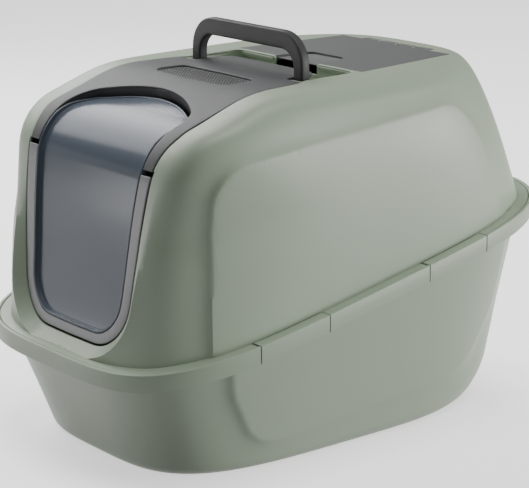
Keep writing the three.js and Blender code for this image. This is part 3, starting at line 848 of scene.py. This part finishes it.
def foot_flange():
    """The small flange round the hood's foot, open where the clips reach over it."""
    section = round_loop([(4.1, 4.5, 0.4), (FOOT_INSET + 1.5, 4.5, 0.3), (FOOT_INSET + 1.5, 0.5, 0.3),
                          (4.1, 0.5, 0.7)], 3)
    ys = np.linspace(CLIPS["front"][1] + 0.6, CLIPS["rear"][0] - 0.6, 24)
    middle = tube(columns_of(*(rim_side(o, d, ys) for o, d in section)))
    bodies = [middle, mirrored(middle)]
    for low, sign in ((CLIPS["front"][0] - 0.6, -1), (CLIPS["rear"][1] + 0.6, 1)):
        side = np.linspace(low, low + sign * 30, 6)
        rings = [[rim_side(o, d, side[i:i + 1])[0] for o, d in section] for i in range(6)]
        starts = [math.atan2(p[1], p[0]) for p in rings[-1]]
        for share in np.linspace(0, 1, 60)[1:]:
            ring = []
            for (o, d), start in zip(section, starts):
                angle = start + share * (sign * math.pi - 2 * start)
                ring.append(rim_loop(o, d, np.array([angle]))[0])
            rings.append(ring)
        rings += [[(-p[0], p[1], p[2]) for p in ring] for ring in rings[4::-1]]
        bodies.append(tube(rings))
    return merged(*bodies)


# ---------- the tray ----------
BASE = {"half": 148, "length": 228.5, "middle": 2.7, "power": 3.75}
BOTTOM_ROUND = {"side": 14, "front": 8, "rear": 55}
CLIPS = {"front": (-158, -74), "rear": (58, 143)}
WALL_OFFSET, LEDGE, LEDGE_EDGE = 12, 5, 18
UNDER = LEDGE + WALL


def eased(radius, height):
    """How far a wall lies back at a height when its foot is rounded by a radius."""
    return radius - np.sqrt(radius ** 2 - (radius - np.minimum(height, radius)) ** 2)


def tray_loop(share, inset, floor, angles, relief=None):
    """The tray wall's outline at a share of the way up from the base to the rim."""
    top = RIM["length"] - WALL_OFFSET
    height = {"side": share * (RIM_MIDDLE - UNDER), "rear": share * (rim_height(top) - UNDER),
              "front": share * (rim_height(-top) - UNDER)}
    half = BASE["half"] + (RIM["half"] - WALL_OFFSET - BASE["half"]) * share - inset
    rear = BASE["middle"] + BASE["length"]
    rear += (top - rear) * share - inset
    front = BASE["length"] - BASE["middle"]
    front += (top - front) * share - inset
    half -= eased(BOTTOM_ROUND["side"], height["side"])
    rear -= eased(BOTTOM_ROUND["rear"], height["rear"])
    front -= eased(BOTTOM_ROUND["front"], height["front"])
    power = BASE["power"] + (RIM["power"] - BASE["power"]) * share
    length = np.where(np.sin(angles) >= 0, rear, front)
    cos, sin = np.abs(np.cos(angles)) / half, np.abs(np.sin(angles)) / length
    r = (cos ** power + sin ** power) ** (-1 / power)
    x, y = r * np.cos(angles), r * np.sin(angles)
    z = np.maximum(floor, (rim_height(y) - UNDER) * share + floor * (1 - share))
    p = columns_of(x, y, z)
    if relief is not None:
        ahead = np.roll(p, -1, axis=0) - np.roll(p, 1, axis=0)
        out = unit(columns_of(ahead[:, 1], -ahead[:, 0]))
        p[:, :2] += out * (relief(p) * np.clip(share * 12, 0, 1))[:, None]
    return p


def tray_relief(p):
    """The raised panel on each side of the tray."""
    return panel_relief(p[:, 1:3], TRAY_SIDE) * eased_step(np.abs(p[:, 0]), 60, 100)


def tray():
    """The open tray with its rim channel, cut out for the clips."""
    angles = np.linspace(0, 2 * math.pi, 560, endpoint=False)
    shares = np.concatenate([np.linspace(0, 1, 11)[:-1] ** 2 * 0.12, np.linspace(0.12, 1, 58)])
    floor_rings = [0.02, 0.25, 0.5, 0.75, 0.93]
    outer = [tray_loop(0, 0, 0, angles) * np.array([k, k, 1]) for k in floor_rings]
    outer += [tray_loop(s, 0, 0, angles, tray_relief) for s in shares]
    rim = [(8, UNDER, 0), (3, UNDER, 0.8), (3, RIM["band"], 0.5), (0, RIM["band"], 0.7), (0, 0, 1),
           (3.5, 0, 0.9), (3.5, LEDGE, 0.6), (LEDGE_EDGE, LEDGE, 1), (LEDGE_EDGE, UNDER - 1, 0)]
    rings = [rim_loop(o, d, angles) for o, d in round_loop(rim)]
    inner = [tray_loop(s, WALL, WALL, angles) for s in shares[::-4]]
    inner += [tray_loop(0, WALL, WALL, angles) * np.array([k, k, 1]) for k in floor_rings[::-1]]
    cutters = []
    for low, high in CLIPS.values():
        ys = np.linspace(low, high, 20)
        notch = np.array([(-3, 19.5), (5, 19.5), (5, -2), (-3, -2)])
        cutter = tube(columns_of(*(rim_side(o, d, ys) for o, d in notch)))
        cutters += [cutter, mirrored(cutter)]
    return difference(tube([*outer, *rings, *inner]), *cutters)


def clip(low, high):
    """A rim clip: an outer plate, a leaf over the hood's foot and a hinge barrel."""
    gap = 1.3
    section = round_loop([(0, RIM["band"], 0.6), (3, RIM["band"], 0.4), (3, 2.4, 0.4), (13, 2.4, 0.4),
                          (13, 0, 0.8), (0, 0, 0.9)], 3)
    ys = np.linspace(low + gap, high - gap, 26)
    plate = tube(columns_of(*(rim_side(o, d, ys) for o, d in section)))
    ends = [rim_side(4.4, 15.6, np.array([y]))[0] for y in (low + 6.0, high - 6.0)]
    along = ends[1] - ends[0]
    along /= np.linalg.norm(along)
    side = np.cross(along, [0, 0, 1])
    side /= np.linalg.norm(side)
    up = np.cross(side, along)
    turn = np.linspace(0, 2 * math.pi, 20, endpoint=False)
    disc = 2.2 * (np.cos(turn)[:, None] * side + np.sin(turn)[:, None] * up)
    barrel = tube([ends[0] + disc * 0.85, ends[0] + 0.4 * along + disc,
                   ends[1] - 0.4 * along + disc, ends[1] + disc * 0.85])
    return merged(plate, barrel)


# ---------- the visor and its filter ----------
GRILLE = {"front": (64, -103, 11), "rear": (60, -66, 9), "bow": 3}


def grille_line(by):
    """The grille's outline in plan, moved outwards: four rounded corners and bowed long edges."""
    (x0, y0, r0), (x1, y1, r1), bow = GRILLE.values()
    half = [(0, y0 - bow - by), (x0 + by, y0 - by), (x1 + by, y1 + by), (0, y1 + bow / 2 + by)]
    corners = [(*half[0], 0), (*half[1], r0 + by), (*half[2], r1 + by), (*half[3], 0)]
    right = spaced(rounded(corners), 2.5)
    return np.concatenate([right, (right * np.array([-1, 1]))[::-1][1:-1]])


def visor():
    """The visor's cover, the curtain under its opening's edge, its two lugs and the tab behind the door."""
    inner = cut(above(OPENING[::-1]), 2, ARM_END, keep_above=True)
    outer = cut(above(VISOR_SIDE), 2, ARM_END, keep_above=True)
    outline = loop_of([inner, bridge(inner[-1], outer[0], STEP), outer])
    pocket = on_top(grille_line(0))[::-1]
    lattice = SKIN.lattice(4)
    plate = moulded(SKIN, [outline, pocket],
                    [edge_profile(0, WALL, 0.9, 0.4), edge_profile(0, WALL, 0.8, 0.3)], lattice, 2)
    wide = cut(above(grown(OPENING, 2.3)[::-1]), 2, ARM_END, keep_above=True)
    thin = bridge(inner[-1], wide[-1], 1.2)
    right = np.concatenate([inner, thin[1:], wide[::-1][1:]])[1:-1]
    ring = np.concatenate([right, (right * MIRROR)[::-1]])
    curtain = moulded(SKIN, [ring], [edge_profile(1.5, 14, 0.3, 0.6)], NO_LATTICE, 2)
    lug = prism(box(72.2, 75.9, -32, -20, 1), 365, 375.5, 0.6)
    tab = on_top(round_loop(box(-26, 26, -136.8, -132, 1.2)))
    tab = moulded(SKIN, [tab], [edge_profile(2, 15, 0.3, 0.5)], NO_LATTICE, 2)
    return plate, curtain, both(lug), tab


def grille_bars():
    """The filter grille: fine crossed bars inside a thin rim."""
    pitch, width, depth, thick = 3.0, 1.2, 2.0, 0.9
    middle = np.array([0, -84.5])
    outline = grille_line(-0.8)
    bars = []
    for slope in (math.radians(45), math.radians(-45)):
        way = np.array([math.cos(slope), math.sin(slope)])
        across = np.array([-way[1], way[0]])
        for offset in np.arange(-90, 90, pitch):
            line = middle + across * offset + np.linspace(-110, 110, 441)[:, None] * way
            hit = np.flatnonzero(inside_loops(line, [outline]))
            if len(hit) < 4:
                continue
            run = spaced(line[hit[0]:hit[-1] + 1], 8)
            a, b = (on_top(run + across * edge) for edge in (-width / 2, width / 2))
            top, bottom = [0, 0, depth], [0, 0, depth + thick]
            bars.append(tube(columns_of(a - top, b - top, b - bottom, a - bottom)))
    rim = moulded(SKIN, [on_top(grille_line(-0.3)), on_top(grille_line(-1.8))[::-1]],
                  [edge_profile(2.0, 1.0, 0.2, 0.2)] * 2, NO_LATTICE, 2)
    return merged(rim, *bars)


# ---------- the door ----------
PANE_BEND, PANE_SHOULDER = 336, -208


def window_run():
    """The pane's right-hand edge: up the front, a short bridge over the bend, and back over the top."""
    low = cut(facing(WINDOW_SIDE[::-1]), 2, PANE_BEND, keep_above=False)
    high = cut(above(WINDOW_TOP), 1, PANE_SHOULDER, keep_above=True)
    return spaced(np.concatenate([low, high]), STEP)


class Pane(Hood):
    """The door's skin: its rear end dips under the visor, and its face is set back in a shallow pan."""

    DIP, PAN = 9, 3.6

    def __init__(self):
        super().__init__(lambda p: door_relief(p) - self.DIP * eased_step(p[:, 1], -214, -150))

    def recess(self, p):
        return self.PAN * (1 - eased_step(p[:, 1], -205, -165))


def window_pan():
    """The see-through door: a shallow pan with a thin bright rim."""
    deep, wall, inner_round, outer_round = 1.2, 2.3, 2.4, 2
    outline = loop_of([window_run()])
    quarter = np.radians(np.linspace(0, 90, 7))
    profile = [(wall + 0.3 + inner_round * (1 - math.sin(a)), deep, 1 - 0.32 * (1 - math.cos(a)))
               for a in quarter]
    profile += [(wall + 0.1, 0.5), (wall - 0.3, 0.1), (wall - 0.8, 0), (0.7, 0), (0.2, 0.3), (0, 0.8)]
    profile += [(outer_round * (1 - math.sin(a)) + 0.2, deep + wall, 1 - 0.3 * (1 - math.cos(a)))
                for a in quarter[::-1]]
    profile.append((wall + 0.3 + inner_round, deep + wall, 1))
    return moulded(Pane(), [outline], [profile], SKIN.lattice(4), 2.4)


def door_frame():
    """The grey band round the sides and the bottom of the pane."""
    outer = cut(facing(FRAME_SIDE[::-1]), 2, FRAME_TOP, keep_above=False)
    inner = cut(facing(grown(WINDOW_SIDE, GAP)[::-1]), 2, FRAME_TOP, keep_above=False)
    end = bridge(outer[-1], inner[-1], STEP)
    right = np.concatenate([outer, end[1:-1], inner[::-1]])
    outline = np.concatenate([right, (right * MIRROR)[::-1][1:-1]])
    return moulded(Hood(door_relief), [outline], [edge_profile(0.3, 3.2, 0.9, 0.4)], SKIN.lattice(4), 2)


# ---------- the lid and the handle ----------
def lid():
    """The roof lid with its finger scoop, its four tongues and their hinge rods."""
    axis = roof_height(HINGE_Y) + HINGE_LIFT
    over, scoop_depth = 4, 2.2
    scoop = round_loop(mirror_corners([(37, LID_FRONT[1] - 3, 0.5), (28, LID_FRONT[1] + 42, 9)]), 8)
    plate = slab(ROOF, [lid_outline(0, 1.6)], LID_THICK, 0.6, 8)
    parts = [difference(plate, slab(roof_plane(-over), [scoop], over + scoop_depth, 0.2))]
    for x in TONGUES:
        x0, x1 = x - TONGUE_HALF, x + TONGUE_HALF
        tongue = round_loop(box(x0, x1, LID_REAR[1] - 1, HINGE_Y, 0.3), 2)
        parts += [roof_slab([tongue], 0.8, 2.6, 0.3), rod(1.9, x0, x1, HINGE_Y, axis)]
    return merged(*parts)


def handle():
    """The carrying handle, upright, with round feet on its pins."""
    outer, leg, top, depth, bar = 92.3, 14, 423.3, 11, 18.5
    outside = [(outer, HANDLE_Z, 0), (outer, top, 34), (-outer, top, 34), (-outer, HANDLE_Z, 0)]
    inside = [(-outer + leg, HANDLE_Z, 0), (-outer + leg, top - bar, 20), (outer - leg, top - bar, 20),
              (outer - leg, HANDLE_Z, 0)]
    outline = even_filled(round_loop([*outside, *inside], 10), 4)
    face = Flat((0, HANDLE_Y - depth / 2, 0), (1, 0, 0), (0, 0, 1))
    body = slab(face, [outline], depth, 2.4, 4)
    foot = rod(depth / 2, outer - leg, outer, HANDLE_Y, HANDLE_Z, 1.6, 40)
    return merged(body, both(foot))


# ---------- materials ----------
def plastic(name, colour, rough, grain, spread=0.03, specular=0.5, alpha=1):
    """Moulded plastic: a fine moulded grain, soft unevenness, and slight changes of tone and gloss."""
    material = bpy.data.materials.new(name)
    material.use_nodes = True
    nodes, links = material.node_tree.nodes, material.node_tree.links
    shader = nodes["Principled BSDF"]

    def node(kind, **values):
        made = nodes.new(f"ShaderNode{kind}")
        for socket, value in values.items():
            made.inputs[socket.replace("_", " ")].default_value = value
        return made

    place = node("TexCoord")
    broad = node("TexNoise", Scale=9, Detail=3)
    fine = node("TexNoise", Scale=900, Detail=2)
    tone = node("MapRange", To_Min=1 - spread, To_Max=1 + spread)
    tint = node("VectorMath")
    tint.operation = "SCALE"
    tint.inputs[0].default_value = colour
    gloss = node("MapRange", To_Min=rough - 0.04, To_Max=rough + 0.05)
    bump = node("Bump", Strength=grain, Distance=0.0004)
    for texture in (broad, fine):
        links.new(place.outputs["Object"], texture.inputs["Vector"])
    links.new(broad.outputs["Fac"], tone.inputs["Value"])
    links.new(tone.outputs["Result"], tint.inputs["Scale"])
    links.new(tint.outputs["Vector"], shader.inputs["Base Color"])
    links.new(broad.outputs["Fac"], gloss.inputs["Value"])
    links.new(gloss.outputs["Result"], shader.inputs["Roughness"])
    links.new(fine.outputs["Fac"], bump.inputs["Height"])
    links.new(bump.outputs["Normal"], shader.inputs["Normal"])
    shader.inputs["Specular IOR Level"].default_value = specular
    shader.inputs["Alpha"].default_value = alpha
    return material


SAGE = plastic("sage_plastic", (0.325, 0.395, 0.295), 0.42, 0.25)
CHARCOAL = plastic("charcoal_plastic", (0.086, 0.088, 0.09), 0.5, 0.5, specular=0.25)
LID_GREY = plastic("lid_plastic", (0.118, 0.121, 0.121), 0.5, 0.5, specular=0.3)
MESH_GREY = plastic("mesh_plastic", (0.11, 0.112, 0.112), 0.5, 0.5, specular=0.3)
SLATE = plastic("slate_plastic", (0.05, 0.052, 0.05), 0.5, 0.5, specular=0.25)
SILVER = plastic("silver_plastic", (0.215, 0.215, 0.225), 0.36, 0.2, specular=0.35)
SMOKE = plastic("smoked_window", (0.13, 0.155, 0.195), 0.16, 0.02, specular=0.22, alpha=0.78)
CARBON = plastic("carbon_pad", (0.03, 0.031, 0.033), 0.95, 1.0, 0.25)

# ---------- the pieces ----------
piece("hood_shell", *hood_shell(), SAGE, "hood", "green_plastic", ["hood"])
piece("hood_lid_ledge", *lid_ledge(), SAGE, "hood", "green_plastic")
piece("hood_dish", *dish(), SAGE, "hood", "green_plastic")
piece("hood_foot_flange", *foot_flange(), SAGE, "hood", "green_plastic")
piece("tray_body", *tray(), SAGE, "tray", "green_plastic", ["tray"])
for name, (low, high) in CLIPS.items():
    right = clip(low, high)
    for side, body in (("right", right), ("left", mirrored(right))):
        node = f"clip_{side}_{name}"
        piece(f"{node}_body", *body, SAGE, node, "green_plastic", [node])
plate, curtain, lugs, tab = visor()
piece("visor_cover", *plate, CHARCOAL, "visor", "grey_plastic", ["visor"])
piece("visor_inner_edge", *curtain, CHARCOAL, "visor", "grey_plastic")
piece("visor_lugs", *lugs, CHARCOAL, "visor", "grey_plastic")
piece("visor_tab", *tab, CHARCOAL, "visor", "grey_plastic")
piece("grille_mesh", *grille_bars(), MESH_GREY, "visor", "dark_plastic", ["filter_grille"])
piece("door_pane", *window_pan(), SMOKE, "door", "smoked_window", ["door_window"])
piece("door_band", *door_frame(), SILVER, "door", "light_grey_plastic", ["door_frame"])
piece("handle_grip", *handle(), SLATE, "handle", "dark_plastic", ["handle"])
piece("lid_panel", *lid(), LID_GREY, "lid", "grey_plastic", ["roof_lid"])
for node, material in (("filter_pad", CARBON), ("filter_holder", CHARCOAL), ("door_pin_left", SILVER),
                       ("door_pin_right", SILVER), ("handle_pin_left", SLATE), ("handle_pin_right", SLATE)):
    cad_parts[node].data.materials.clear()
    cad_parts[node].data.materials.append(material)

# ---------- floor, light and camera ----------
FLOOR = 6
floor_mesh = bpy.data.meshes.new("floor")
floor_mesh.from_pydata([(x, y, 0) for x, y, _ in box(-FLOOR, FLOOR, -FLOOR, FLOOR, 0)], [], [(0, 1, 2, 3)])
floor = added("floor", floor_mesh)
floor_material = bpy.data.materials.new("floor")
floor_material.use_nodes = True
for socket, value in {"Base Color": (0.93, 0.93, 0.93, 1), "Roughness": 0.9,
                      "Emission Color": (1, 1, 1, 1), "Emission Strength": 0.9}.items():
    floor_material.node_tree.nodes["Principled BSDF"].inputs[socket].default_value = value
floor_mesh.materials.append(floor_material)
# The floor's bounce would flatten the shading of the front corner.
floor.visible_diffuse = False
floor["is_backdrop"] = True

world = bpy.data.worlds.new("studio")
world.use_nodes = True
for socket, value in {"Color": (1, 1, 1, 1), "Strength": 0.14}.items():
    world.node_tree.nodes["Background"].inputs[socket].default_value = value
bpy.context.scene.world = world


def aim(obj, direction):
    """Turns an object so that it looks along a direction."""
    obj.rotation_mode = "QUATERNION"
    obj.rotation_quaternion = direction.to_track_quat("-Z", "Y")


def softbox(name, place, target, size, power):
    """A rectangular studio light at a place, facing a target."""
    light = bpy.data.lights.new(name, "AREA")
    light.shape, light.size, light.size_y, light.energy = "RECTANGLE", size[0], size[1], power
    obj = added(name, light)
    obj.location = place
    aim(obj, Vector(target) - Vector(place))
    obj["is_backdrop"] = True


softbox("left_light", (-1.75, -0.05, 1.55), (0, 0, 0.2), (2.0, 1.4), 50)
softbox("glass_light", (-1.6, -1.3, 0.38), (0, 0, 0.2), (1.5, 0.7), 3)
softbox("front_light", (-1.6, -1.9, 0.25), (0, 0, 0.1), (0.8, 0.45), 7)
softbox("right_light", (1.95, 1.9, 0.5), (0, 0, 0.15), (1.3, 0.9), 66)

sun = bpy.data.lights.new("top_light", "SUN")
sun.energy, sun.angle = 1.9, math.radians(40)
sun_holder = added("top_light", sun)
aim(sun_holder, Vector((-0.12, -0.1, -1)))
sun_holder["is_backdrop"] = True

camera_data = bpy.data.cameras.new("camera")
camera_data.lens, camera_data.sensor_width = 132.6, 36
camera = added("camera", camera_data)
camera.location = (1.5763, -1.2673, 0.7151)
aim(camera, Vector((-0.0087, 0.0015, 0.1812)) - camera.location)
bpy.context.scene.camera = camera

low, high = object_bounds()
